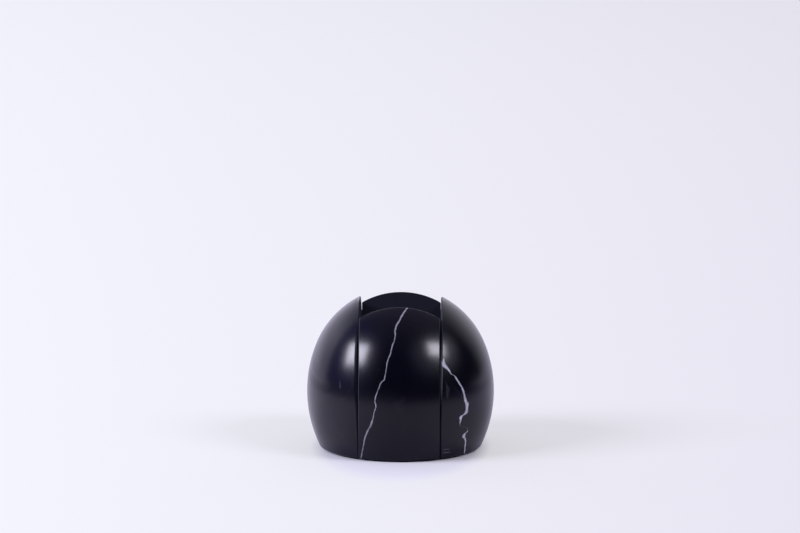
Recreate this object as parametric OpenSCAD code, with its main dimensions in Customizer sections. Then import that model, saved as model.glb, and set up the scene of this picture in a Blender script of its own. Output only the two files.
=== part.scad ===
// Pen cup: a rounded stone body sawn upright into a centre block and two cheeks, with open joints.
// Millimetres, +Z up. The origin is on the desk, under the middle of the body. The front faces -Y.

/* [Body] */
// Widest diameter of the body
body_d = 100; // [94:1:112]
// Height of the widest point above the desk
equator_h = 30; // [26:0.5:34]
// How far past the axis the centre of the flank arc lies
flank_offset = 17; // [8:0.5:30]
// Height of the crown arc's centre above the widest point
crown_lift = 7; // [3:0.5:12]
// Rounding of the bottom edge
base_edge_r = 1; // [0.4:0.1:2]

/* [Joints] */
// Width of the centre block
block_w = 42.6; // [38:0.2:48]
// Open joint between the centre block and each cheek
joint_gap = 0.3; // [0.2:0.1:1.5]

/* [Pocket] */
// Depth of the pocket from front to back
pocket_d = 47.6; // [40:0.2:52]
// Height of the pocket's floor above the desk
floor_h = 8; // [6:0.5:14]
// Rounding where the pocket's walls meet its floor
pocket_corner_r = 2; // [1:0.5:5]

/* [Dowels and spacers] */
// Diameter of a dowel
dowel_d = 4; // [3:0.5:5]
// Length of a dowel that each stone holds
dowel_hold = 7; // [5:0.5:8]
// Height of the dowels above the desk
dowel_h = 30; // [20:1:40]
// Distance of a dowel's axis behind the face of the pocket
dowel_inset = 7; // [5.5:0.5:8]
// Room for adhesive round a dowel and at its ends
glue_gap = 0.1; // [0.05:0.05:0.2]
// Distance of a spacer plate's edge inside the outer face of the stone
spacer_inset = 3; // [2:0.5:5]

/* [Felt] */
// Thickness of the felt under the base
felt_t = 0.8; // [0.5:0.1:2]
// Distance of the felt's edge inside the flat of the base
felt_inset = 1.5; // [0.5:0.5:4]

/* [Hidden] */
$fn = 128;

// Directions from the middle of the body
LEFT = -1;
RIGHT = 1;
FRONT = -1;
BACK = 1;

// How far one arc stands proud of the next where they run into each other, so that they cross cleanly
arc_bite = 0.002;

// The outline is two arcs that run into each other: an upright flank, then a crown centred on the axis.
body_r = body_d / 2;
flank_r = body_r + flank_offset;
centres_apart = norm([flank_offset, crown_lift]);
crown_r = flank_r - centres_apart + arc_bite;
crown_h = equator_h + crown_lift;
arcs_meet_h = equator_h + flank_r * crown_lift / centres_apart;
apex_h = crown_h + crown_r;

// The bottom edge is a third arc, inside the flank and standing on the base.
edge_h = felt_t + base_edge_r;
base_flat_r = sqrt(pow(flank_r - base_edge_r, 2) - pow(equator_h - edge_h, 2)) - flank_offset;
edge_meets_h = edge_h - base_edge_r * (equator_h - edge_h) / (flank_r - base_edge_r);

// The spacer plates' outline is the body's own, drawn in.
spacer_crown_r = crown_r - spacer_inset;
spacer_flank_r = flank_r - spacer_inset;
spacer_base_h = felt_t + spacer_inset;
spacer_arcs_meet_h = equator_h + spacer_flank_r * crown_lift / centres_apart;

cheek_x = block_w / 2 + joint_gap;
joint_x = block_w / 2 + joint_gap / 2;
dowel_y = pocket_d / 2 + dowel_inset;
dowel_l = 2 * dowel_hold + joint_gap;
bore_d = dowel_d + 2 * glue_gap;

// Reach of a cut past the stone that it cuts
over = 1;

stone = "#1b1a20";
steel = "#b9bcc0";
nylon = "#3a3a3e";
felt = "#232227";

// A strip of the half outline between two heights, as wide as the body
module strip(low, high) {
    translate([0, low]) square([body_r, high - low]);
}

// The crown's circle lies inside the flank's but for the bite where they meet, and so does the edge's.
module body_outline() {
    intersection() {
        union() {
            translate([0, crown_h]) circle(crown_r);
            intersection() {
                translate([-flank_offset, equator_h]) circle(flank_r);
                strip(edge_meets_h, arcs_meet_h);
            }
            translate([base_flat_r, edge_h]) circle(base_edge_r + arc_bite);
            translate([0, felt_t]) square([base_flat_r, edge_h]);
        }
        strip(felt_t, apex_h);
    }
}

module body() {
    rotate_extrude() body_outline();
}

// The body between two upright planes, given by their x
module slice(x0, x1) {
    intersection() {
        body();
        translate([x0, -body_r - over, 0]) cube([x1 - x0, body_d + 2 * over, apex_h + over]);
    }
}

// The space for pens runs through the whole width of the block, and the cheeks close its ends.
module pocket() {
    half = pocket_d / 2;
    corner_y = half - pocket_corner_r;
    corner_h = floor_h + pocket_corner_r;
    length = block_w + 2 * over;
    rotate([90, 0, 90]) translate([0, 0, -length / 2]) linear_extrude(length) {
        translate([-half, corner_h]) square([pocket_d, apex_h + over - corner_h]);
        translate([-corner_y, floor_h]) square([2 * corner_y, 2 * pocket_corner_r]);
        for (y = [-corner_y, corner_y]) translate([y, corner_h]) circle(pocket_corner_r);
    }
}

// A rod across the joint on one side, in the front or the back wall of the pocket
module cross_rod(side, wall, d, l) {
    translate([side * joint_x, wall * dowel_y, dowel_h]) rotate([0, 90, 0])
        cylinder(d = d, h = l, center = true);
}

module dowel_bores(side) {
    for (wall = [FRONT, BACK]) cross_rod(side, wall, bore_d, dowel_l + 2 * glue_gap);
}

module cheek(side) {
    near = side * cheek_x;
    far = side * (body_r + over);
    color(stone) difference() {
        slice(min(near, far), max(near, far));
        dowel_bores(side);
    }
}

module centre_block() {
    color(stone) difference() {
        slice(-block_w / 2, block_w / 2);
        pocket();
        dowel_bores(LEFT);
        dowel_bores(RIGHT);
    }
}

module dowel(side, wall) {
    color(steel) cross_rod(side, wall, dowel_d, dowel_l);
}

module spacer_outline() {
    intersection() {
        union() {
            translate([0, crown_h]) circle(spacer_crown_r);
            intersection() {
                translate([-flank_offset, equator_h]) circle(spacer_flank_r);
                strip(spacer_base_h, spacer_arcs_meet_h);
            }
        }
        strip(spacer_base_h, apex_h);
    }
}

// A thin plate round a dowel that holds one wall's joint open, and is set in from the outer face
module spacer(side, wall) {
    near_x = side * block_w / 2;
    far_x = side * cheek_x;
    near_y = wall * pocket_d / 2;
    far_y = wall * (body_r + over);
    color(nylon) difference() {
        intersection() {
            rotate_extrude() spacer_outline();
            translate([min(near_x, far_x), min(near_y, far_y), 0])
                cube([joint_gap, abs(far_y - near_y), apex_h + over]);
        }
        cross_rod(side, wall, bore_d, joint_gap + 2 * over);
    }
}

module base_felt() {
    color(felt) cylinder(r = base_flat_r - felt_inset, h = felt_t);
}

cheek(LEFT);  // left_cheek
centre_block();
cheek(RIGHT);  // right_cheek
dowel(LEFT, FRONT);  // left_front_dowel
dowel(LEFT, BACK);  // left_back_dowel
dowel(RIGHT, FRONT);  // right_front_dowel
dowel(RIGHT, BACK);  // right_back_dowel
spacer(LEFT, FRONT);  // left_front_spacer
spacer(LEFT, BACK);  // left_back_spacer
spacer(RIGHT, FRONT);  // right_front_spacer
spacer(RIGHT, BACK);  // right_back_spacer
base_felt();
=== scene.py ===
from math import atan2, copysign, cos, hypot, pi, radians, sin, sqrt, tan

import bmesh
import bpy
from mathutils import Matrix, Quaternion, Vector


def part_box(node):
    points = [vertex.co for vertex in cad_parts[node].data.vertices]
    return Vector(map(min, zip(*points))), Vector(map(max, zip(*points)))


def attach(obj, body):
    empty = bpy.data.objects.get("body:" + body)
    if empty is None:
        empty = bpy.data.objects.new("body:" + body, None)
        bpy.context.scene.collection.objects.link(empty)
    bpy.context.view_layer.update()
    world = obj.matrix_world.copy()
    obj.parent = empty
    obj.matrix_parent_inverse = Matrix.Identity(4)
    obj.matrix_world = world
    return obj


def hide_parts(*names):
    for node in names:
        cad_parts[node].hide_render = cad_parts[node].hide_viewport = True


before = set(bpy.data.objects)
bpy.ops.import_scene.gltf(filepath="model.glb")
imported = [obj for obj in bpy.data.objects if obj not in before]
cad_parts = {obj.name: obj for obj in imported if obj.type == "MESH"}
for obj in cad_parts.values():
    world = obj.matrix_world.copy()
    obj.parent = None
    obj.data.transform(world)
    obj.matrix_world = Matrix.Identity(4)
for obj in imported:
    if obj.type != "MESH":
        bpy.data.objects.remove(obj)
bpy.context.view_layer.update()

# Pen cup in black marble: a rounded body, sawn upright into a centre block and two cheeks, on a felt disc.
# Metres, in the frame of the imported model: +Z up, front towards -Y, left towards -X.

MM = 0.001

# Directions from the middle of the body
LEFT = -1
RIGHT = 1
FRONT = -1
BACK = 1
X = (1, 0, 0)
Y = (0, 1, 0)
Z = (0, 0, 1)

# Sizes that the frame gives
BLOCK_LOW, BLOCK_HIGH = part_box("centre_block")
CHEEK_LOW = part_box("right_cheek")[0]
FELT_LOW, FELT_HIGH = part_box("base_felt")
DOWEL_LOW, DOWEL_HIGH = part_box("right_front_dowel")
BODY_R = BLOCK_HIGH.y
BLOCK_X = BLOCK_HIGH.x
CHEEK_X = CHEEK_LOW.x
JOINT_X = (BLOCK_X + CHEEK_X) / 2
BASE_H = BLOCK_LOW.z
FELT_R = FELT_HIGH.y
FELT_T = FELT_HIGH.z - FELT_LOW.z
DOWEL_Y = abs(DOWEL_LOW.y + DOWEL_HIGH.y) / 2
DOWEL_H = (DOWEL_LOW.z + DOWEL_HIGH.z) / 2
DOWEL_R = (DOWEL_HIGH.y - DOWEL_LOW.y) / 2

# Sizes of the turned outline, the pocket, the bores and the felt's edge
EQUATOR_H = 30 * MM
FLANK_OFFSET = 17 * MM
CROWN_LIFT = 7 * MM
BASE_EDGE_R = 1 * MM
POCKET_Y = 23.8 * MM
FLOOR_H = 8 * MM
POCKET_CORNER_R = 2 * MM
GLUE_GAP = 0.1 * MM
BORE_R = DOWEL_R + GLUE_GAP
BORE_REACH = (DOWEL_HIGH.x - DOWEL_LOW.x) / 2 + GLUE_GAP
FELT_EDGE = 0.2 * MM
# Above this height lie the lips and the part of the crown that the pocket opens
TOP_ZONE_H = 60 * MM
# A height below the whole part
EVERYWHERE = -1

# The outline is a crown arc, a flank arc and a small bottom edge, each running into the next.
FLANK_R = BODY_R + FLANK_OFFSET
CROWN_R = FLANK_R - hypot(FLANK_OFFSET, CROWN_LIFT)
CROWN_H = EQUATOR_H + CROWN_LIFT
CROWN_ENDS = atan2(CROWN_LIFT, FLANK_OFFSET)
ARCS_MEET_H = EQUATOR_H + FLANK_R * sin(CROWN_ENDS)
EDGE_H = BASE_H + BASE_EDGE_R
BASE_FLAT_R = sqrt((FLANK_R - BASE_EDGE_R) ** 2 - (EQUATOR_H - EDGE_H) ** 2) - FLANK_OFFSET
FLANK_ENDS = atan2(EQUATOR_H - EDGE_H, BASE_FLAT_R + FLANK_OFFSET)
EDGE_MEETS_H = EDGE_H - BASE_EDGE_R * sin(FLANK_ENDS)

# Eased arrises. Each reaches in from the sawn face: most at a height, fading to least above and below it.
# Slope is how steep it is, flat how much of it is a flat chamfer, and bare the share left unpolished.
# What is bare has a finish of its own where the arris has one, and is as sawn elsewhere: dull on the left
# cheek, and on the right cheek pale, a painted highlight over the paler unpolished stone.
LEFT_CHEEK_ARRIS = {
    "most": 1.6 * MM, "least": 0.3 * MM, "at": 54 * MM, "above": 17 * MM, "below": 40 * MM,
    "slope": 1.2, "flat": 0.5, "bare": 0.6, "own_arris_finish": True
}
RIGHT_CHEEK_ARRIS = {
    "most": 1.2 * MM, "least": 0.55 * MM, "at": 56 * MM, "above": 27 * MM, "below": 36 * MM,
    "slope": 1.5, "flat": 1.0, "bare": 0.95, "own_arris_finish": True
}
BLOCK_LEFT_ARRIS = {
    "most": 0.5 * MM, "least": 0.4 * MM, "at": 50 * MM, "above": 30 * MM, "below": 40 * MM,
    "slope": 1.0, "flat": 0.3, "bare": 0.85, "own_arris_finish": False
}
BLOCK_RIGHT_ARRIS = {
    "most": 0.35 * MM, "least": 0.3 * MM, "at": 50 * MM, "above": 30 * MM, "below": 40 * MM,
    "slope": 1.0, "flat": 0.5, "bare": 0, "own_arris_finish": False
}
FRONT_LIP = {
    "most": 0.75 * MM, "least": 0.75 * MM, "at": 70 * MM, "above": 20 * MM, "below": 20 * MM,
    "slope": 1.0, "flat": 0.5, "bare": 0, "own_arris_finish": False
}
BACK_LIP = {
    "most": 0.1 * MM, "least": 0.1 * MM, "at": 70 * MM, "above": 20 * MM, "below": 20 * MM,
    "slope": 1.0, "flat": 0.5, "bare": 0, "own_arris_finish": False
}

# Fineness of the meshes. An arris is cut into strips at shares of its reach, counted from the sawn face.
CROWN_STEPS = 60
FLANK_STEPS = 60
EDGE_STEPS = 6
TURN_STEPS = 240
EASE_SHARES = (1.15, 1.0, 0.95, 0.9, 0.8, 0.6, 0.42, 0.25, 0.12, 0.04)
CORNER_STEPS = 5
BORE_STEPS = 24
FELT_STEPS = 120
FELT_EDGE_STEPS = 3
FLOOR_STEPS = 96
WELD = 0.001 * MM

# Finishes of the stone. A stone's first two slots are polished and sawn, and a third is for the bare strip of
# an arris: dull, or pale with a painted highlight.
POLISHED = 0
SAWN = 1
PALE_HIGHLIT = 2
DULL = 3
ARRIS_SLOT = 2
STONE_FINISHES = {
    POLISHED: {
        "dark": (0.0012, 0.0011, 0.0046, 1), "light": (0.0017, 0.0016, 0.0060, 1),
        "roughness": (0.20, 0.24), "bump": 0.04
    },
    SAWN: {
        "dark": (0.008, 0.010, 0.022, 1), "light": (0.011, 0.013, 0.028, 1),
        "roughness": (0.48, 0.6), "bump": 0.25
    },
    # The pale finish paints a highlight, lightest at one height, over the paler tone of unpolished stone.
    PALE_HIGHLIT: {
        "dark": (0.008, 0.010, 0.022, 1), "light": (0.15, 0.15, 0.165, 1),
        "roughness": (0.6, 0.75), "bump": 0.25
    },
    DULL: {
        "dark": (0.006, 0.007, 0.014, 1), "light": (0.009, 0.010, 0.020, 1),
        "roughness": (0.85, 0.95), "bump": 0.25
    }
}
STONE_BUMP_DEPTH = 0.05 * MM
STONE_IOR = 1.55
# The pale arris finish is a painted highlight over the paler unpolished stone: palest at a height in
# millimetres, stays so for a little each way, and then fades.
ARRIS_HIGHLIGHT_AT = 48
ARRIS_HIGHLIGHT_FULL = 4
ARRIS_HIGHLIGHT_ENDS = 18

# Noises: scale for each millimetre, detail and roughness. Most of a noise lies in the band.
NOISE_BAND = (0.3, 0.7)
NOISE_MEAN = 0.5
CLOUD = (0.06, 4.0, 0.6)
GRAIN = (2.5, 4.0, 0.6)
HAIRLINE = (0.03, 1.5, 0.5)
HAIRLINE_PATCH = (0.05, 1.0, 0.5)
FLECK_PATCH = (0.11, 1.0, 0.5)
SAW_STROKE = (1.0, 3.0, 0.5)
VEIN_WANDER = (0.2, 3.0, 0.6)
VEIN_CHIP = (1.1, 2.0, 0.6)
VEIN_SWELL = (0.35, 2.0, 0.5)
VEIN_CLOUD = (0.7, 3.0, 0.5)
FELT_FIBRE = (3.0, 5.0, 0.7)
FELT_TUFT = (0.4, 3.0, 0.5)
STEEL_SCRATCH = (1.5, 3.0, 0.5)
NYLON_SKIN = (2.0, 3.0, 0.5)

# The stone's ground: where a trace starts and is full, and how strong it is
HAIRLINE_SPAN = (0.008, 0.001)
HAIRLINE_PATCH_SPAN = (0.52, 0.66)
HAIRLINE_STRENGTH = 0.015
FLECK_SCALE = 0.22
FLECK_SPAN = (0.10, 0.03)
FLECK_PATCH_SPAN = (0.60, 0.70)
FLECK_STRENGTH = 0.04
SAW_STRETCH = (0.02, 0.02, 2.0)

# The veins' calcite: how it strays, swells and clouds, and where its edge fades, as shares of half its width
VEIN_TONE = (0.54, 0.535, 0.63, 1)
VEIN_ROUGHER = 0.08
VEIN_CHIP_SHARE = 0.45
VEIN_SWELLS = (0.65, 1.3)
VEIN_LEAST = 0.0001
VEIN_FADED = 1.25
VEIN_FULL = 0.45
VEIN_CLOUDS = (0.3, 0.65, 0.55, 1.0)
# Room for a vein's course on either side of its points, and the top of its width's scale
COURSE_ROOM = 1
WIDTH_TOP = 2

# Veins, in millimetres. Each is a sheet through the stone. Its course gives the distance across for points
# along it, and its width gives half its thickness there. Starts is where it fades in, from front to back.
FRONT_VEIN = {
    "across": (0.866, -0.5, 0), "along": Z,
    "course": [
        (0, 1.5), (7, 4.5), (12, 6.5), (16.5, 8.5), (23, 12), (27.5, 13), (31.5, 14), (33.5, 13.5),
        (38.5, 14.5), (43.5, 16), (45.5, 17.5), (50, 17.5), (55, 17.5), (58.5, 18), (63, 18), (66.5, 17.5),
        (69, 16.5), (72, 16), (75.5, 16), (80, 15.5)
    ],
    "width": [
        (0, 0.4), (7, 0.3), (12, 0.38), (17, 0.42), (21.5, 0.55), (25, 0.3), (32, 0.34), (38, 0.28),
        (44, 0.4), (50, 0.18), (55, 0.34), (60, 0.28), (65, 0.26), (70, 0.4), (76, 0.45), (80, 0.4)
    ],
    "ragged": 0.9, "strength": 0.56
}
RIGHT_VEIN = {
    "across": (0.819, 0.574, 0), "along": Z,
    "course": [
        (0, 13), (5.5, 11.5), (9.5, 10.5), (11, 9.5), (12.5, 8.5), (14, 10), (15, 11), (17, 8.5), (19.5, 4.6),
        (21.5, 4.9), (23.2, 5.2), (23.8, 5.8), (24.2, 6.8), (25, 8), (26.5, 8.7), (29, 8.7), (31.5, 8),
        (34, 7.3), (38, 6), (40.5, 4.5), (43, 3), (45.5, 1.5), (46.5, -0.5), (48.5, -1.5), (50.5, -3.5),
        (52, -4), (54, -3.5), (64.5, 0)
    ],
    "width": [
        (0, 0.3), (5.5, 0.45), (9.5, 0.55), (12.5, 1.0), (14.5, 0.55), (15.5, 0.04), (18.5, 0.04), (20, 0.3),
        (21.5, 0.6), (22.5, 0.9), (23.5, 1.5), (25.5, 1.3), (27.5, 1.2), (29.5, 1.25), (31.5, 1.05),
        (34, 0.8), (37, 0.7), (40, 0.5), (43, 0.55), (45, 0.4), (47, 0.3), (48, 0.5), (49.5, 0.9), (51, 1.3),
        (52.5, 0.9), (54, 0.3), (55, 0)
    ],
    "ragged": 0.75, "strength": 1.0
}
RIGHT_SMEAR = {
    "across": (0.819, 0.574, 0), "along": Z,
    "course": [(33, -4), (38, -3.5), (43, -4.5)],
    "width": [(33, 0), (36, 0.9), (40, 1.3), (43, 0)],
    "ragged": 2.0, "strength": 0.036
}
RIGHT_TICK_HIGH = {
    "across": Z, "along": X,
    "course": [(22, 5.8), (24.5, 6.1), (27, 5.8)],
    "width": [(22.8, 0), (24, 0.4), (25.5, 0.4), (26.5, 0)],
    "ragged": 0.5, "strength": 0.12, "starts": (-26, -30)
}
RIGHT_TICK_LOW = {
    "across": Z, "along": X,
    "course": [(22, 4.5), (24.5, 4.2), (27, 4.3)],
    "width": [(22.5, 0), (23.5, 0.35), (25.5, 0.45), (27, 0)],
    "ragged": 0.5, "strength": 0.12, "starts": (-26, -30)
}
LEFT_SCUFF = {
    "across": (0.78, -0.62, 0), "along": Z,
    "course": [(38.5, 0), (40.5, -0.3), (42.5, -1)],
    "width": [(38, 0), (39.5, 0.7), (41.5, 0.7), (43, 0)],
    "ragged": 1.0, "strength": 0.05, "starts": (-26, -30)
}
LEFT_SIDE_VEIN = {
    "across": Z, "along": Y,
    "course": [(-50, 34), (-30, 40), (-18, 42), (0, 47), (12, 46), (30, 53), (50, 58)],
    "width": [(-50, 0), (-30, 0), (-18, 0.1), (0, 0.3), (12, 0.35), (30, 0.4), (50, 0.5)],
    "ragged": 1.6, "strength": 0.35
}
BACK_VEIN = {
    "across": (0.95, 0.31, 0), "along": Z,
    "course": [(0, 22), (14, 18), (30, 19), (44, 12), (60, 9), (80, -2)],
    "width": [(0, 0.3), (30, 0.4), (60, 0.35), (80, 0.3)],
    "ragged": 1.6, "strength": 0.45, "starts": (26, 30)
}
RIGHT_SIDE_VEIN = {
    "across": (0, 0.8, 0.6), "along": (0, -0.6, 0.8),
    "course": [(-30, 36), (0, 33), (30, 38), (60, 34), (80, 30)],
    "width": [(-30, 0.35), (0, 0.4), (30, 0.3), (50, 0.2), (60, 0)],
    "ragged": 1.6, "strength": 0.4
}
LEFT_VEINS = [LEFT_SIDE_VEIN, LEFT_SCUFF]
BLOCK_VEINS = [FRONT_VEIN, BACK_VEIN]
RIGHT_VEINS = [RIGHT_VEIN, RIGHT_SMEAR, RIGHT_TICK_HIGH, RIGHT_TICK_LOW, RIGHT_SIDE_VEIN]

# The other materials. A bump is its strength and its depth.
FELT_DARK = (0.008, 0.008, 0.009, 1)
FELT_LIGHT = (0.030, 0.030, 0.033, 1)
FELT_ROUGHNESS = (0.88, 1.0)
FELT_SHEEN = 0.3
FELT_BUMP = (0.6, 0.2 * MM)
STEEL_DARK = (0.48, 0.49, 0.51, 1)
STEEL_LIGHT = (0.62, 0.63, 0.65, 1)
STEEL_ROUGHNESS = (0.28, 0.42)
STEEL_STRETCH = (0.3, 6.0, 6.0)
STEEL_BUMP = (0.2, 0.02 * MM)
NYLON_DARK = (0.024, 0.024, 0.026, 1)
NYLON_LIGHT = (0.036, 0.036, 0.039, 1)
NYLON_ROUGHNESS = (0.45, 0.6)
NYLON_BUMP = (0.2, 0.05 * MM)

# Floor: its tones on the left and the right, which change along lines that fan out from a point in front. The
# change
# is painted light: brighter on the left, towards the key lamp.
FLOOR_R = 40.0
FLOOR_DROP = 0.02 * MM
FLOOR_LIT_LEFT = (0.91, 0.925, 0.94, 1)
FLOOR_LESS_LIT_RIGHT = (0.81, 0.80, 0.83, 1)
FAN_FROM = 1.57
FAN_STARTS = -0.5
FAN_SPAN = (-0.15, 0.15)
# The share of the floor's look that is plain tone, and how near the felt the floor is all cloth
FLOOR_PLAIN = 0.57
FLOOR_NEAR = 50 * MM
FLOOR_NEAR_SHAPE = (1.03, 0.55, 1)
# The floor as the stone mirrors it: bright close by and behind, and dim farther off
MIRROR_TINT = (1.02, 0.97, 1.14)
FLOOR_DIM_LEFT = (0.105, 0.105, 0.16, 1)
FLOOR_DIM_RIGHT = (0.012, 0.012, 0.045, 1)
FLOOR_DIM_SPAN = (-0.15, 0.0)
BRIGHT_CLOSE = (0.28, 0.42, 1.0, 0.0)
BRIGHT_BEHIND = (0.1, 0.3)
# How bright the stone mirrors the floor on each side, for degrees round from the front
FLOOR_MIRRORED = [
    (-180, 0.95), (-120, 0.95), (-90, 0.7), (-60, 0.62), (-30, 0.45), (0, 0.37), (45, 0.46), (90, 0.52),
    (120, 0.7), (180, 0.95)
]

# Room: its tones, and the tone that shows behind the floor
ROOM_DARK = (0.003, 0.003, 0.006, 1)
ROOM_LEFT = (0.06, 0.06, 0.28, 1)
ROOM_RIGHT = (0.62, 0.60, 0.73, 1)
ROOM_FRONT = (0.18, 0.18, 0.29, 1)
ROOM_CEILING = (0.17, 0.16, 0.23, 1)
SCREEN_LEFT = (1.1, 1.05, 1.34, 1)
SCREEN_RIGHT = (0.82, 0.78, 0.92, 1)
ROOM_SEEN = (0.86, 0.85, 0.93, 1)
# A glow's way, and how near to that way it starts and is full, as a cosine
LEFT_GLOW_WAY = (-0.93, -0.05, 0.36)
LEFT_GLOW = (0.57, 0.95)
RIGHT_GLOW_WAY = (0.765, -0.26, 0.589)
RIGHT_GLOW = (0.895, 0.996)
RIGHT_GLOW_FOOT = (0.25, 0.45, 0.35, 1.0)
RIGHT_GLOW_TOP = (0.62, 0.82, 1.0, 0.0)
FRONT_GLOW_WAY = (0.52, -0.62, 0.588)
FRONT_GLOW = (0.915, 0.99)
# The ceiling by height, and by how far forward it reaches
CEILING_RISE = (0.6, 0.9)
CEILING_REACH = (-0.5, 0.2, 0.2, 1.0)
# The screen behind: the way that it faces and the lean of its edge, where it opens from that edge, and how
# it dims high up and low down. What differs from left to right changes over a span across.
ROOM_ACROSS = (-0.2, 0.2)
SCREEN_ACROSS = (-0.3, 0.3)
SCREEN_WAY = (-0.155, 1, 0)
SCREEN_LEAN = 0.55
SCREEN_OPENS_LEFT = (0.33, 0.50)
SCREEN_OPENS_RIGHT = (0.36, 0.80)
SCREEN_DROOP = -0.4
SCREEN_DIMS = (0.12, 0.47)
SCREEN_HIGH_UP = (0.40, 0.60)
SCREEN_LOW = (0.15, 0.4, 0.36, 0.0)
SCREEN_LOW_ENDS = (0.62, 0.8, 1.0, 0.0)
SCREEN_RISE = (0.0, 0.25)
SCREEN_RISEN = (0.88, 1.0)

# Lamps far off: the way to each, its light on a face turned to it, the angles in degrees that it fills across
# and up, how far it is rolled, its tint, and whether the stone mirrors it
LAMPS_FAR = 20.0
SOFTBOXES = {
    "left_softbox": {
        "way": Vector((-0.790, -0.327, 0.518)), "light": 2.58, "wide": 26.5, "high": 19.5, "roll": 18,
        "tint": (0.87, 0.85, 1.0), "mirrored": True
    },
    "right_softbox": {
        "way": Vector((0.687, -0.385, 0.616)), "light": 1.2, "wide": 20.5, "high": 14.5, "roll": -25,
        "tint": (0.90, 0.87, 1.0), "mirrored": True
    },
    "top_fill": {
        "way": Vector(Z), "light": 1.5, "wide": 90, "high": 90, "roll": 0,
        "tint": (1, 1, 1), "mirrored": False
    }
}

# Camera: its distance from the middle of the cup, its rise and turn round it, and which way it looks
CAMERA_FAR = 1.6
CAMERA_RISE = radians(11.23)
CAMERA_TURN = radians(1.12)
CAMERA_PITCH = radians(8.86)
CAMERA_YAW = radians(0.01)
CAMERA_LENS = 134.4
CAMERA_SENSOR = 36
CAMERA_SEES = 100


# Meshes and objects

def everything(bm):
    return bm.verts[:] + bm.edges[:] + bm.faces[:]


def verts_in(geom):
    return [g for g in geom if isinstance(g, bmesh.types.BMVert)]


def edges_in(geom):
    return [g for g in geom if isinstance(g, bmesh.types.BMEdge)]


def faces_in(geom):
    return [g for g in geom if isinstance(g, bmesh.types.BMFace)]


def new_object(bm, name, finishes):
    mesh = bpy.data.meshes.new(name)
    bm.to_mesh(mesh)
    bm.free()
    for finish in finishes:
        mesh.materials.append(finish)
    made = bpy.data.objects.new(name, mesh)
    bpy.context.scene.collection.objects.link(made)
    return made


def new_piece(bm, name, node, finishes):
    """Makes a mesh an object that stands for a CAD node."""
    piece = new_object(bm, name, finishes)
    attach(piece, "root")
    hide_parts(node)
    return piece


# Stone

def outline_arc(bm, start, centre, sweep, steps):
    """Draws an arc of the outline from a point, and gives its end."""
    made = bmesh.ops.spin(
        bm, geom=[start], cent=centre, axis=Y, dvec=(0, 0, 0), angle=sweep, steps=steps
    )
    return verts_in(made["geom_last"])[0]


def turned_body():
    """The whole body as it comes off the lathe, before it is sawn."""
    bm = bmesh.new()
    top = bm.verts.new((0, 0, CROWN_H + CROWN_R))
    shoulder = outline_arc(bm, top, (0, 0, CROWN_H), pi / 2 - CROWN_ENDS, CROWN_STEPS)
    heel = outline_arc(bm, shoulder, (-FLANK_OFFSET, 0, EQUATOR_H), CROWN_ENDS + FLANK_ENDS, FLANK_STEPS)
    rim = outline_arc(bm, heel, (BASE_FLAT_R, 0, EDGE_H), pi / 2 - FLANK_ENDS, EDGE_STEPS)
    middle = bmesh.ops.extrude_vert_indiv(bm, verts=[rim])["verts"][0]
    middle.co = (0, 0, BASE_H)
    bmesh.ops.spin(
        bm, geom=bm.verts[:] + bm.edges[:], cent=(0, 0, 0), axis=Z, dvec=(0, 0, 0),
        angle=2 * pi, steps=TURN_STEPS, use_merge=True
    )
    bmesh.ops.remove_doubles(bm, verts=bm.verts[:], dist=WELD)
    bmesh.ops.recalc_face_normals(bm, faces=bm.faces[:])
    for face in bm.faces:
        face.smooth = True
    return bm


def outward(co, facing):
    """The way out of the turned surface at a point, within the plane that a saw cut lies in."""
    r = hypot(co.x, co.y)
    radial = Vector((co.x, co.y, 0)) / max(r, WELD)
    up = Vector(Z)
    if co.z >= ARCS_MEET_H:
        out = radial * r + up * (co.z - CROWN_H)
    elif co.z >= EDGE_MEETS_H:
        out = radial * (r + FLANK_OFFSET) + up * (co.z - EQUATOR_H)
    elif r > BASE_FLAT_R:
        out = radial * (r - BASE_FLAT_R) + up * (co.z - EDGE_H)
    else:
        out = -up
    out -= facing * out.dot(facing)
    return out.normalized()


def saw(bm, at, facing):
    """Cuts the stone at a plane and takes away what lies on its facing side."""
    bmesh.ops.bisect_plane(
        bm, geom=everything(bm), dist=WELD, plane_co=at, plane_no=facing, clear_outer=True
    )


def score(bm, at, facing, above):
    """Cuts the faces that lie above a height along a plane, and keeps both sides."""
    faces = [f for f in bm.faces if f.calc_center_median().z > above]
    edges = dict.fromkeys(e for f in faces for e in f.edges)
    verts = dict.fromkeys(v for f in faces for v in f.verts)
    bmesh.ops.bisect_plane(
        bm, geom=faces + list(edges) + list(verts), dist=WELD, plane_co=at, plane_no=facing
    )


def reach_here(z, arris):
    """How far an arris is eased at a height: most where hands rub it, and little at its ends."""
    away = (z - arris["at"]) / (arris["above"] if z > arris["at"] else arris["below"])
    return arris["least"] + (arris["most"] - arris["least"]) * max(0, 1 - away ** 2)


def slide(co, facing, way):
    """Moves a point of the turned surface along a saw's facing, at its own height and radius."""
    r = hypot(co.x, co.y)
    x = co.x + facing.x * way
    return Vector((x, copysign(sqrt(max(0, r * r - x * x)), co.y), co.z))


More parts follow.
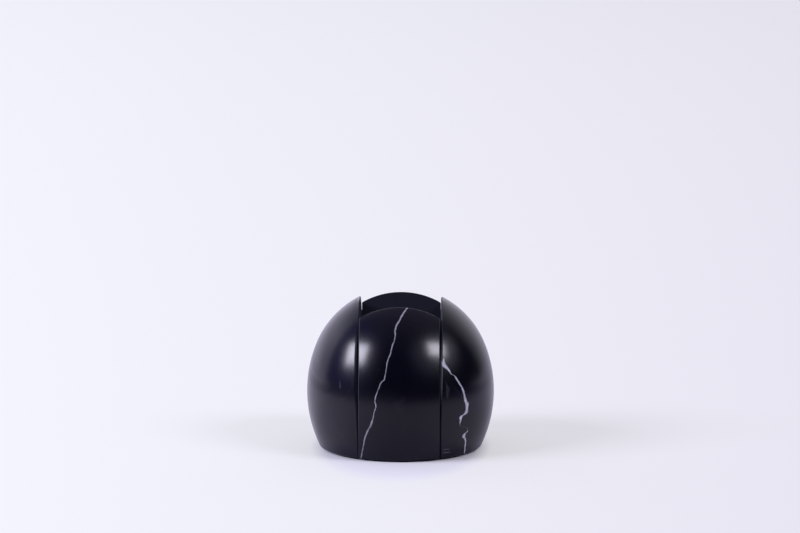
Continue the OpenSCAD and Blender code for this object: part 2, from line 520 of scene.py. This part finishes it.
def ease_arris(bm, at, facing, arris, above=EVERYWHERE):
    """Rounds the edge between the outer face and a sawn face, where the stone is higher than above.
    A lip drops straight down, so that its ends stay in the sawn faces beside it."""
    most = arris["most"]
    flat = arris["flat"]
    for share in EASE_SHARES:
        score(bm, at - facing * most * share, facing, above)
    for face in bm.faces:
        depth = (at - face.calc_center_median()).dot(facing)
        if -WELD < depth < most * arris["bare"] and face.calc_center_median().z > above:
            face.material_index = ARRIS_SLOT if arris["own_arris_finish"] else SAWN
    for vert in bm.verts:
        depth = (at - vert.co).dot(facing)
        if -WELD < depth < most * EASE_SHARES[0] + WELD and vert.co.z > above:
            reach = reach_here(vert.co.z, arris)
            if reach < most:
                vert.co = slide(vert.co, facing, depth * (1 - reach / most))
            turn = max(0, min(1, 1 - depth / most))
            drop = flat * turn + (1 - flat) * (1 - sqrt(1 - turn * turn))
            way = Vector(Z) if facing.y else outward(vert.co, facing)
            vert.co -= way * arris["slope"] * reach * drop


def bore_mouth(bm, x, wall):
    """The edges of a dowel's bore on a sawn face."""
    turn = Matrix.Rotation(pi / 2, 4, "Y")
    place = Matrix.Translation((x, wall * DOWEL_Y, DOWEL_H)) @ turn
    made = bmesh.ops.create_circle(bm, segments=BORE_STEPS, radius=BORE_R, matrix=place)
    return list(dict.fromkeys(e for v in made["verts"] for e in v.link_edges))


def sawn_face(bm, x, into):
    """Closes the stone at an upright saw cut, with the blind bores of the two dowels."""
    rim = [e for e in bm.edges if e.is_boundary and all(abs(v.co.x - x) < WELD for v in e.verts)]
    mouths = [bore_mouth(bm, x, wall) for wall in (FRONT, BACK)]
    made = bmesh.ops.triangle_fill(
        bm, use_beauty=True, use_dissolve=False, edges=rim + mouths[0] + mouths[1]
    )
    faces = faces_in(made["geom"])
    reach = BORE_REACH - abs(abs(x) - JOINT_X)
    for mouth in mouths:
        wall = bmesh.ops.extrude_edge_only(bm, edges=mouth)["geom"]
        bmesh.ops.translate(bm, vec=(into * reach, 0, 0), verts=verts_in(wall))
        end = bmesh.ops.contextual_create(bm, geom=edges_in(wall))["faces"]
        faces += faces_in(wall) + end
    for face in faces:
        face.material_index = SAWN
        face.smooth = False


def finish_stone(bm, name, node, finishes):
    bmesh.ops.remove_doubles(bm, verts=bm.verts[:], dist=WELD)
    bmesh.ops.recalc_face_normals(bm, faces=bm.faces[:])
    for edge in bm.edges:
        edge.smooth = all(f.smooth for f in edge.link_faces)
    new_piece(bm, name, node, finishes)


def make_cheek(side, arris, name, node, finishes):
    """An outer slice of the body, with one sawn face."""
    bm = turned_body()
    at = Vector((side * CHEEK_X, 0, 0))
    facing = Vector((-side, 0, 0))
    saw(bm, at, facing)
    ease_arris(bm, at, facing, arris)
    sawn_face(bm, side * CHEEK_X, side)
    finish_stone(bm, name, node, finishes)


def open_top(bm):
    """Takes the crown off above the pocket, and eases the lips that are left."""
    for wall in (FRONT, BACK):
        score(bm, Vector((0, wall * POCKET_Y, 0)), Vector((0, -wall, 0)), TOP_ZONE_H)
    lid = []
    for face in bm.faces:
        middle = face.calc_center_median()
        if middle.z > TOP_ZONE_H and abs(middle.y) < POCKET_Y:
            lid.append(face)
    bmesh.ops.delete(bm, geom=lid, context="FACES")
    for wall, lip in ((FRONT, FRONT_LIP), (BACK, BACK_LIP)):
        ease_arris(bm, Vector((0, wall * POCKET_Y, 0)), Vector((0, -wall, 0)), lip, TOP_ZONE_H)


def pocket_wall(bm, wall):
    """Carries a lip down to the pocket's floor, round the corner, and gives the edges on the floor."""
    corner_h = FLOOR_H + POCKET_CORNER_R
    lip = []
    for edge in bm.edges:
        if edge.is_boundary and all(abs(v.co.y - wall * POCKET_Y) < WELD for v in edge.verts):
            if all(v.co.z > TOP_ZONE_H for v in edge.verts):
                lip.append(edge)
    face = bmesh.ops.extrude_edge_only(bm, edges=lip)["geom"]
    foot = verts_in(face)
    level = Matrix.Translation((0, 0, -corner_h))
    bmesh.ops.scale(bm, vec=(1, 1, 0), space=level, verts=foot)
    corner = bmesh.ops.spin(
        bm, geom=foot + edges_in(face), cent=(0, wall * (POCKET_Y - POCKET_CORNER_R), corner_h),
        axis=X, dvec=(0, 0, 0), angle=-wall * pi / 2, steps=CORNER_STEPS
    )
    return edges_in(corner["geom_last"])


def make_block(name, node, finishes):
    """The middle slice of the body, with the pocket through its whole width."""
    bm = turned_body()
    for side, arris in ((LEFT, BLOCK_LEFT_ARRIS), (RIGHT, BLOCK_RIGHT_ARRIS)):
        at = Vector((side * BLOCK_X, 0, 0))
        facing = Vector((side, 0, 0))
        saw(bm, at, facing)
        ease_arris(bm, at, facing, arris)
    open_top(bm)
    outer = set(bm.faces)
    floor_edges = pocket_wall(bm, FRONT) + pocket_wall(bm, BACK)
    bmesh.ops.bridge_loops(bm, edges=floor_edges)
    for face in bm.faces:
        if face not in outer:
            face.material_index = SAWN
            face.smooth = False
    for side in (LEFT, RIGHT):
        sawn_face(bm, side * BLOCK_X, -side)
    finish_stone(bm, name, node, finishes)


# Materials

class Graph:
    """A node tree, with short ways to add nodes and to join them."""

    def __init__(self, tree):
        self.tree = tree

    def add(self, kind, inputs=None, **settings):
        node = self.tree.nodes.new("ShaderNode" + kind)
        for name, value in settings.items():
            setattr(node, name, value)
        for name, value in (inputs or {}).items():
            self.put(node.inputs[name], value)
        return node

    def put(self, socket, value):
        if isinstance(value, bpy.types.NodeSocket):
            self.tree.links.new(value, socket)
        else:
            socket.default_value = value

    def group(self, tree, inputs):
        node = self.add("Group", node_tree=tree)
        for name, value in inputs.items():
            self.put(node.inputs[name], value)
        return node.outputs

    def math(self, operation, *values):
        node = self.add("Math", operation=operation)
        for socket, value in zip(node.inputs, values):
            self.put(socket, value)
        return node.outputs[0]

    def product(self, first, *others):
        for other in others:
            first = self.math("MULTIPLY", first, other)
        return first

    def dot(self, vector, direction):
        node = self.add("VectorMath", {0: vector, 1: direction}, operation="DOT_PRODUCT")
        return node.outputs["Value"]

    def length(self, vector):
        return self.add("VectorMath", {0: vector}, operation="LENGTH").outputs["Value"]

    def stretch(self, vector, shares):
        return self.add("VectorMath", {0: vector, 1: shares}, operation="MULTIPLY").outputs[0]

    def span(self, value, low, high, to_low=0.0, to_high=1.0, smooth=False):
        kind = "SMOOTHSTEP" if smooth else "LINEAR"
        node = self.add("MapRange", interpolation_type=kind)
        for name, given in (
            ("Value", value), ("From Min", low), ("From Max", high), ("To Min", to_low), ("To Max", to_high)
        ):
            self.put(node.inputs[name], given)
        return node.outputs["Result"]

    def noise(self, vector, scale, detail, rough):
        node = self.add("TexNoise", {"Vector": vector, "Scale": scale, "Detail": detail, "Roughness": rough})
        return node.outputs["Fac"]

    def blend(self, share, first, second):
        """Mixes two colours. The sockets are numbered, because a mix has several of each name."""
        node = self.add("Mix", data_type="RGBA")
        self.put(node.inputs[0], share)
        self.put(node.inputs[6], first)
        self.put(node.inputs[7], second)
        return node.outputs[2]

    def course(self, value, points, low, high):
        """A curve through given points (value, height), which lies between low and high."""
        first = points[0][0]
        last = points[-1][0]
        node = self.add("FloatCurve")
        self.put(node.inputs["Value"], self.span(value, first, last))
        curve = node.mapping.curves[0]
        while len(curve.points) < len(points):
            curve.points.new(0.5, 0.5)
        for point, (at, height) in zip(curve.points, points):
            point.location = ((at - first) / (last - first), (height - low) / (high - low))
            point.handle_type = "AUTO_CLAMPED"
        node.mapping.update()
        return self.span(node.outputs[0], 0.0, 1.0, low, high)

    def dress(self, shader, colour, rough, height, bump):
        """Gives a shader its colour, roughness and bump."""
        strength, depth = bump
        node = self.add("Bump", {"Height": height, "Strength": strength, "Distance": depth})
        self.put(shader.inputs["Base Color"], colour)
        self.put(shader.inputs["Roughness"], rough)
        self.put(shader.inputs["Normal"], node.outputs["Normal"])


def new_group(name, inputs, outputs):
    tree = bpy.data.node_groups.new(name, "ShaderNodeTree")
    for socket, kind in inputs:
        tree.interface.new_socket(name=socket, in_out="INPUT", socket_type="NodeSocket" + kind)
    for socket, kind in outputs:
        tree.interface.new_socket(name=socket, in_out="OUTPUT", socket_type="NodeSocket" + kind)
    graph = Graph(tree)
    entry = tree.nodes.new("NodeGroupInput")
    leave = tree.nodes.new("NodeGroupOutput")
    return graph, entry.outputs, leave.inputs


def vein_group():
    """A ragged line of calcite, from the distance across it in millimetres."""
    graph, given, result = new_group(
        "Calcite vein",
        [("Point", "Vector"), ("Across", "Float"), ("Half width", "Float"), ("Ragged", "Float")],
        [("Vein", "Float")]
    )
    point = given["Point"]
    wander = graph.math("SUBTRACT", graph.noise(point, *VEIN_WANDER), NOISE_MEAN)
    chip = graph.math("SUBTRACT", graph.noise(point, *VEIN_CHIP), NOISE_MEAN)
    stray = graph.math("MULTIPLY_ADD", chip, VEIN_CHIP_SHARE, wander)
    across = graph.math("MULTIPLY_ADD", stray, given["Ragged"], given["Across"])
    swell = graph.span(graph.noise(point, *VEIN_SWELL), *NOISE_BAND, *VEIN_SWELLS)
    width = graph.math("MAXIMUM", graph.product(given["Half width"], swell), VEIN_LEAST)
    outer = graph.product(width, VEIN_FADED)
    inner = graph.product(width, VEIN_FULL)
    line = graph.span(graph.math("ABSOLUTE", across), outer, inner, smooth=True)
    cloud = graph.span(graph.noise(point, *VEIN_CLOUD), *VEIN_CLOUDS)
    graph.put(result["Vein"], graph.product(line, cloud))
    return graph.tree


def ground_group():
    """The dark ground of the marble: soft clouds, hairlines and small flecks."""
    graph, given, result = new_group(
        "Marble ground", [("Point", "Vector")],
        [("Cloud", "Float"), ("Hairline", "Float"), ("Fleck", "Float"), ("Grain", "Float")]
    )
    point = given["Point"]
    graph.put(result["Cloud"], graph.span(graph.noise(point, *CLOUD), *NOISE_BAND))
    ridge = graph.math("ABSOLUTE", graph.math("SUBTRACT", graph.noise(point, *HAIRLINE), NOISE_MEAN))
    line = graph.span(ridge, *HAIRLINE_SPAN)
    patch = graph.span(graph.noise(point, *HAIRLINE_PATCH), *HAIRLINE_PATCH_SPAN)
    graph.put(result["Hairline"], graph.product(line, patch))
    cells = graph.add("TexVoronoi", {"Vector": point, "Scale": FLECK_SCALE})
    dot = graph.span(cells.outputs["Distance"], *FLECK_SPAN)
    patch = graph.span(graph.noise(point, *FLECK_PATCH), *FLECK_PATCH_SPAN)
    graph.put(result["Fleck"], graph.product(dot, patch))
    graph.put(result["Grain"], graph.noise(point, *GRAIN))
    return graph.tree


VEIN = vein_group()
GROUND = ground_group()


def new_material(name):
    """A material with its shader, and the point on the object in millimetres."""
    material = bpy.data.materials.new(name)
    material.use_nodes = True
    graph = Graph(material.node_tree)
    shader = material.node_tree.nodes["Principled BSDF"]
    place = graph.add("TexCoord").outputs["Object"]
    point = graph.add("VectorMath", {0: place, "Scale": 1 / MM}, operation="SCALE").outputs[0]
    return material, graph, shader, point


def all_veins(graph, point, veins):
    """The strongest of a stone's veins at each point."""
    found = None
    for vein in veins:
        across = graph.dot(point, vein["across"])
        along = graph.dot(point, vein["along"])
        offsets = [offset for at, offset in vein["course"]]
        low = min(offsets) - COURSE_ROOM
        high = max(offsets) + COURSE_ROOM
        line = graph.course(along, vein["course"], low, high)
        width = graph.course(along, vein["width"], 0, WIDTH_TOP)
        mask = graph.group(VEIN, {
            "Point": point, "Across": graph.math("SUBTRACT", across, line),
            "Half width": width, "Ragged": vein["ragged"]
        })["Vein"]
        mask = graph.product(mask, vein["strength"])
        if "starts" in vein:
            mask = graph.product(mask, graph.span(graph.dot(point, Y), *vein["starts"]))
        found = mask if found is None else graph.math("MAXIMUM", found, mask)
    return found


def stone_finish(name, veins, finish):
    """Black marble with its own veins: polished to a satin, left as sawn, dull, or pale with a painted
    highlight.
    """
    material, graph, shader, point = new_material(name)
    look = STONE_FINISHES[finish]
    ground = graph.group(GROUND, {"Point": point})
    share = ground["Cloud"]
    # Painted highlight on the pale arris: lightest at one height and fading above and below, over the paler
    # unpolished stone.
    if finish == PALE_HIGHLIT:
        away = graph.math("ABSOLUTE", graph.math("SUBTRACT", graph.dot(point, Z), ARRIS_HIGHLIGHT_AT))
        share = graph.span(away, ARRIS_HIGHLIGHT_ENDS, ARRIS_HIGHLIGHT_FULL, smooth=True)
    colour = graph.blend(share, look["dark"], look["light"])
    hairline = graph.product(ground["Hairline"], HAIRLINE_STRENGTH)
    fleck = graph.product(ground["Fleck"], FLECK_STRENGTH)
    trace = graph.math("MAXIMUM", hairline, fleck)
    mask = graph.math("MAXIMUM", all_veins(graph, point, veins), trace)
    colour = graph.blend(mask, colour, VEIN_TONE)
    satin = graph.span(ground["Grain"], *NOISE_BAND, *look["roughness"])
    rough = graph.math("MULTIPLY_ADD", mask, VEIN_ROUGHER, satin)
    shader.inputs["IOR"].default_value = STONE_IOR
    height = ground["Grain"]
    if finish == SAWN:
        stroke = graph.noise(graph.stretch(point, SAW_STRETCH), *SAW_STROKE)
        height = graph.math("ADD", height, stroke)
    graph.dress(shader, colour, rough, height, (look["bump"], STONE_BUMP_DEPTH))
    return material


def stone_finishes(stone, veins, own_arris_finish=None):
    """The materials for a stone's slots, in order."""
    finishes = [
        stone_finish(stone + " polished", veins, POLISHED),
        stone_finish(stone + " sawn", veins, SAWN)
    ]
    if own_arris_finish is not None:
        finishes.append(stone_finish(stone + " arris", veins, own_arris_finish))
    return finishes


def felt_finish():
    material, graph, shader, point = new_material("black felt")
    fibre = graph.noise(point, *FELT_FIBRE)
    tuft = graph.noise(point, *FELT_TUFT)
    colour = graph.blend(graph.span(fibre, *NOISE_BAND), FELT_DARK, FELT_LIGHT)
    rough = graph.span(tuft, *NOISE_BAND, *FELT_ROUGHNESS)
    shader.inputs["Sheen Weight"].default_value = FELT_SHEEN
    graph.dress(shader, colour, rough, fibre, FELT_BUMP)
    return material


def steel_finish():
    material, graph, shader, point = new_material("ground steel")
    scratch = graph.noise(graph.stretch(point, STEEL_STRETCH), *STEEL_SCRATCH)
    colour = graph.blend(scratch, STEEL_DARK, STEEL_LIGHT)
    rough = graph.span(scratch, *NOISE_BAND, *STEEL_ROUGHNESS)
    shader.inputs["Metallic"].default_value = 1.0
    graph.dress(shader, colour, rough, scratch, STEEL_BUMP)
    return material


def nylon_finish():
    material, graph, shader, point = new_material("spacer nylon")
    skin = graph.noise(point, *NYLON_SKIN)
    colour = graph.blend(skin, NYLON_DARK, NYLON_LIGHT)
    rough = graph.span(skin, *NOISE_BAND, *NYLON_ROUGHNESS)
    graph.dress(shader, colour, rough, skin, NYLON_BUMP)
    return material


# Felt

def make_felt():
    """A disc cut from a felt sheet, glued under the three stones."""
    bm = bmesh.new()
    bmesh.ops.create_circle(bm, cap_ends=True, segments=FELT_STEPS, radius=FELT_R)
    bmesh.ops.translate(bm, vec=(0, 0, FELT_LOW.z), verts=bm.verts[:])
    made = bmesh.ops.extrude_face_region(bm, geom=bm.faces[:])
    bmesh.ops.translate(bm, vec=(0, 0, FELT_T), verts=verts_in(made["geom"]))
    bmesh.ops.recalc_face_normals(bm, faces=bm.faces[:])
    rims = [e for e in bm.edges if abs(e.verts[0].co.z - e.verts[1].co.z) < WELD]
    bmesh.ops.bevel(
        bm, geom=rims, offset=FELT_EDGE, affect="EDGES", segments=FELT_EDGE_STEPS, profile=0.5, material=-1
    )
    bmesh.ops.recalc_face_normals(bm, faces=bm.faces[:])
    for face in bm.faces:
        face.smooth = len(face.verts) == 4
    felt = new_piece(bm, "felt_disc", "base_felt", [felt_finish()])


# Stage: floor, light and camera

def floor_finish():
    """A pale cloth that keeps the cup's shadow, with a look of its own where the stone mirrors it."""
    material = bpy.data.materials.new("pale floor")
    material.use_nodes = True
    nodes = material.node_tree.nodes
    nodes.remove(nodes["Principled BSDF"])
    graph = Graph(material.node_tree)
    path = graph.add("LightPath").outputs
    place = graph.add("TexCoord").outputs["Object"]
    x = graph.dot(place, X)
    y = graph.dot(place, Y)
    fan = graph.math("DIVIDE", x, graph.math("ADD", graph.math("MAXIMUM", y, FAN_STARTS), FAN_FROM))
    # Painted falloff of light: the floor is brighter on the left, towards the key lamp.
    colour = graph.blend(graph.span(fan, *FAN_SPAN), FLOOR_LIT_LEFT, FLOOR_LESS_LIT_RIGHT)
    colour = graph.blend(path["Is Glossy Ray"], colour, graph.stretch(colour, MIRROR_TINT))
    cloth = graph.add("BsdfDiffuse", {"Color": colour})
    plain = graph.add("Emission", {"Color": colour, "Strength": 1.0})
    seen = graph.math("MAXIMUM", path["Is Camera Ray"], path["Is Glossy Ray"])
    seen = graph.math("MAXIMUM", seen, path["Is Transmission Ray"])
    near = graph.length(graph.stretch(place, FLOOR_NEAR_SHAPE))
    share = graph.product(seen, graph.span(near, FELT_R, FLOOR_NEAR, 0.0, FLOOR_PLAIN))
    mixed = graph.add("MixShader", {0: share, 1: cloth.outputs[0], 2: plain.outputs[0]})
    round_from_front = graph.math("DEGREES", graph.math("ARCTAN2", x, graph.product(y, -1.0)))
    mirrored = graph.course(round_from_front, FLOOR_MIRRORED, 0, 1)
    close = graph.product(graph.span(graph.length(place), *BRIGHT_CLOSE, smooth=True), mirrored)
    behind = graph.product(graph.span(y, *BRIGHT_BEHIND), mirrored)
    bright = graph.math("MAXIMUM", close, behind)
    unlit = graph.product(graph.math("SUBTRACT", 1.0, bright), path["Is Glossy Ray"])
    dim = graph.blend(graph.span(x, *FLOOR_DIM_SPAN), FLOOR_DIM_LEFT, FLOOR_DIM_RIGHT)
    gloom = graph.add("Emission", {"Color": dim, "Strength": 1.0})
    mixed = graph.add("MixShader", {0: unlit, 1: mixed.outputs[0], 2: gloom.outputs[0]})
    graph.put(nodes["Material Output"].inputs["Surface"], mixed.outputs[0])
    return material


def make_floor():
    bm = bmesh.new()
    bmesh.ops.create_circle(bm, cap_ends=True, segments=FLOOR_STEPS, radius=FLOOR_R)
    bmesh.ops.translate(bm, vec=(0, 0, -FLOOR_DROP), verts=bm.verts[:])
    new_object(bm, "floor", [floor_finish()])


def screen_share(graph, way, x, height):
    """How much of the screen behind shows each way. Its right edge leans, it dims high up, and on the left
    it dims low down by its edge."""
    lean = graph.product(graph.math("MAXIMUM", x, 0.0), height)
    edge = graph.math("MULTIPLY_ADD", lean, SCREEN_LEAN, graph.dot(way, SCREEN_WAY))
    left_open = graph.span(edge, *SCREEN_OPENS_LEFT, smooth=True)
    right_open = graph.span(edge, *SCREEN_OPENS_RIGHT)
    opened = graph.span(x, *ROOM_ACROSS, left_open, right_open)
    lift = graph.math("MULTIPLY_ADD", graph.math("ABSOLUTE", x), SCREEN_DROOP, height)
    high_up = graph.span(x, *ROOM_ACROSS, *SCREEN_HIGH_UP)
    dimmed = graph.span(lift, *SCREEN_DIMS, 1.0, high_up)
    low = graph.product(
        graph.span(height, *SCREEN_LOW), graph.span(edge, *SCREEN_LOW_ENDS),
        graph.span(x, *ROOM_ACROSS, 1.0, 0.0)
    )
    risen = graph.span(x, *ROOM_ACROSS, *SCREEN_RISEN)
    return graph.product(
        opened, dimmed, graph.math("SUBTRACT", 1.0, low), graph.span(height, *SCREEN_RISE, 1.0, risen)
    )


def make_room():
    """Light from all round: a pale screen behind, a dim room in front and a grey ceiling."""
    world = bpy.data.worlds.new("room")
    bpy.context.scene.world = world
    world.use_nodes = True
    graph = Graph(world.node_tree)
    way = graph.add("TexCoord").outputs["Generated"]
    x = graph.dot(way, X)
    y = graph.dot(way, Y)
    height = graph.dot(way, Z)
    ceiling = graph.product(graph.span(height, *CEILING_RISE, smooth=True), graph.span(y, *CEILING_REACH))
    tone = graph.blend(ceiling, ROOM_DARK, ROOM_CEILING)
    left = graph.span(graph.dot(way, LEFT_GLOW_WAY), *LEFT_GLOW, smooth=True)
    tone = graph.blend(left, tone, ROOM_LEFT)
    right = graph.product(
        graph.span(graph.dot(way, RIGHT_GLOW_WAY), *RIGHT_GLOW, smooth=True),
        graph.span(height, *RIGHT_GLOW_FOOT), graph.span(height, *RIGHT_GLOW_TOP)
    )
    tone = graph.blend(right, tone, ROOM_RIGHT)
    front = graph.span(graph.dot(way, FRONT_GLOW_WAY), *FRONT_GLOW, smooth=True)
    tone = graph.blend(front, tone, ROOM_FRONT)
    screen = graph.blend(graph.span(x, *SCREEN_ACROSS), SCREEN_LEFT, SCREEN_RIGHT)
    tone = graph.blend(screen_share(graph, way, x, height), tone, screen)
    path = graph.add("LightPath").outputs
    tone = graph.blend(path["Is Camera Ray"], tone, ROOM_SEEN)
    backdrop = world.node_tree.nodes["Background"]
    graph.put(backdrop.inputs["Color"], tone)
    backdrop.inputs["Strength"].default_value = 1.0


def make_softbox(name, way, light, wide, high, roll, tint, mirrored):
    """A square-cornered lamp that faces the cup."""
    data = bpy.data.lights.new(name, "AREA")
    data.shape = "RECTANGLE"
    data.size = 2 * LAMPS_FAR * tan(radians(wide / 2))
    data.size_y = 2 * LAMPS_FAR * tan(radians(high / 2))
    data.energy = light * pi * LAMPS_FAR ** 2
    data.color = tint
    lamp = bpy.data.objects.new(name, data)
    bpy.context.scene.collection.objects.link(lamp)
    lamp.location = way * LAMPS_FAR
    turn = way.to_track_quat("Z", "Y") @ Quaternion(Z, radians(roll))
    lamp.rotation_euler = turn.to_euler()
    lamp.visible_glossy = mirrored


def make_camera():
    data = bpy.data.cameras.new("camera")
    data.sensor_width = CAMERA_SENSOR
    data.lens = CAMERA_LENS
    data.clip_end = CAMERA_SEES
    camera = bpy.data.objects.new("camera", data)
    level = CAMERA_FAR * cos(CAMERA_RISE)
    camera.location = (
        level * sin(CAMERA_TURN), -level * cos(CAMERA_TURN), EQUATOR_H + CAMERA_FAR * sin(CAMERA_RISE)
    )
    camera.rotation_euler = (pi / 2 - CAMERA_PITCH, 0, CAMERA_TURN + CAMERA_YAW)
    bpy.context.scene.collection.objects.link(camera)
    bpy.context.scene.camera = camera


make_camera()
make_floor()
make_room()
for name, softbox in SOFTBOXES.items():
    make_softbox(name, **softbox)

left_finishes = stone_finishes("left cheek", LEFT_VEINS, DULL)
block_finishes = stone_finishes("block", BLOCK_VEINS)
right_finishes = stone_finishes("right cheek", RIGHT_VEINS, PALE_HIGHLIT)
make_cheek(LEFT, LEFT_CHEEK_ARRIS, "left_cheek_stone", "left_cheek", left_finishes)
make_block("centre_block_stone", "centre_block", block_finishes)
make_cheek(RIGHT, RIGHT_CHEEK_ARRIS, "right_cheek_stone", "right_cheek", right_finishes)
make_felt()

steel = steel_finish()
nylon = nylon_finish()
for name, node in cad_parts.items():
    if name.endswith("dowel"):
        node.data.materials[0] = steel
    elif name.endswith("spacer"):
        node.data.materials[0] = nylon

bpy.context.scene.view_settings.view_transform = "Standard"
